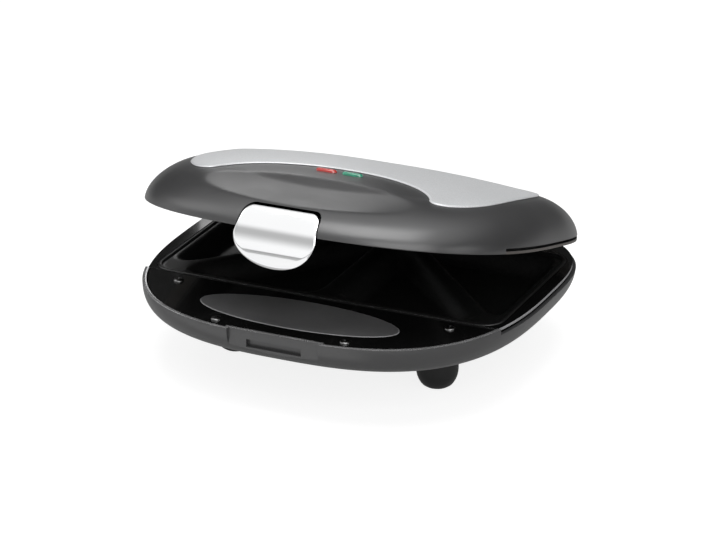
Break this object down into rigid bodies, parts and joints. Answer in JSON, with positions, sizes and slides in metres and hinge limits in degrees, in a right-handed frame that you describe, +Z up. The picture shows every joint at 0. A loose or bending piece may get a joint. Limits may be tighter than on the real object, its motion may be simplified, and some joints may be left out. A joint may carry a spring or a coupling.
{
  "type": "sandwich toaster",
  "caption": "Countertop sandwich toaster with a bowl-shaped base, a domed lid on a rear hinge, two divided non-stick plates and a chrome latch at the front.",
  "frame": {"origin": "middle of the footprint at rest, on the surface that the feet stand on", "axes": "+Z up, +X to the right as seen from the front, -Y towards the front with the latch; the lid is drawn partly open"},
  "size_m": [0.2396, 0.231, 0.1231],
  "materials": {
    "dark_shell": "satin moulded",
    "gloss_black": "polished",
    "inlay_grey": "fine matt",
    "nonstick": "non-stick coating",
    "element_steel": "heat-tinted",
    "sheet_metal": "mill",
    "screw_steel": "zinc plated",
    "screw_black": "blackened",
    "ceramic": "matt ceramic",
    "black_plastic": "satin",
    "pad_rubber": "matt",
    "silver_panel": "satin silver",
    "frame_grey": "satin",
    "red_lens": "clear tinted",
    "green_lens": "clear tinted",
    "holder_white": "satin",
    "lamp_glass": "glossy",
    "latch_chrome": "mirror"
  },
  "bodies": {
    "base": {"base_casing": "dark_shell", "front_panel": "gloss_black", "grip_inlay": "inlay_grey", "plate_surround": "gloss_black", "lower_plate": "nonstick", "lower_element": "element_steel", "lower_reflector": "sheet_metal", "lower_plate_screws": "screw_steel", "thermostat": "ceramic", "terminal_block": "ceramic", "cord_gland": "black_plastic", "front_feet": "black_plastic", "rear_feet": "black_plastic", "foot_pads": "pad_rubber", "foot_screws": "screw_steel", "panel_screws": "screw_black", "surround_screws": "screw_black", "hinge_brackets": "gloss_black", "hinge_pins": "screw_steel"},
    "lid": {"lid_shell": "dark_shell", "lid_panel": "silver_panel", "lid_frame": "frame_grey", "lid_screws": "screw_steel", "upper_plate": "nonstick", "upper_element": "element_steel", "upper_reflector": "sheet_metal", "upper_plate_screws": "screw_steel", "thermal_fuse": "ceramic", "red_lens": "red_lens", "green_lens": "green_lens", "lamp_holder": "holder_white", "lamps": "lamp_glass", "hinge_arms": "screw_steel", "latch_pin": "screw_steel", "latch_spring": "screw_steel"},
    "latch": {"latch_cover": "latch_chrome", "latch_hook": "black_plastic"}
  },
  "joints": [
    {"name": "lid_hinge", "type": "hinge", "parent": "base", "child": "lid", "pos_m": [0, 0.11, 0.0575], "axis": [-1, 0, 0], "range_deg": [-15.4, 84.6]},
    {"name": "latch_hinge", "type": "hinge", "parent": "lid", "child": "latch", "pos_m": [0, -0.09431, 0.11596], "axis": [-1, 0, 0], "range_deg": [-7, 25], "stiffness_Nm_per_rad": 0.05}
  ]
}
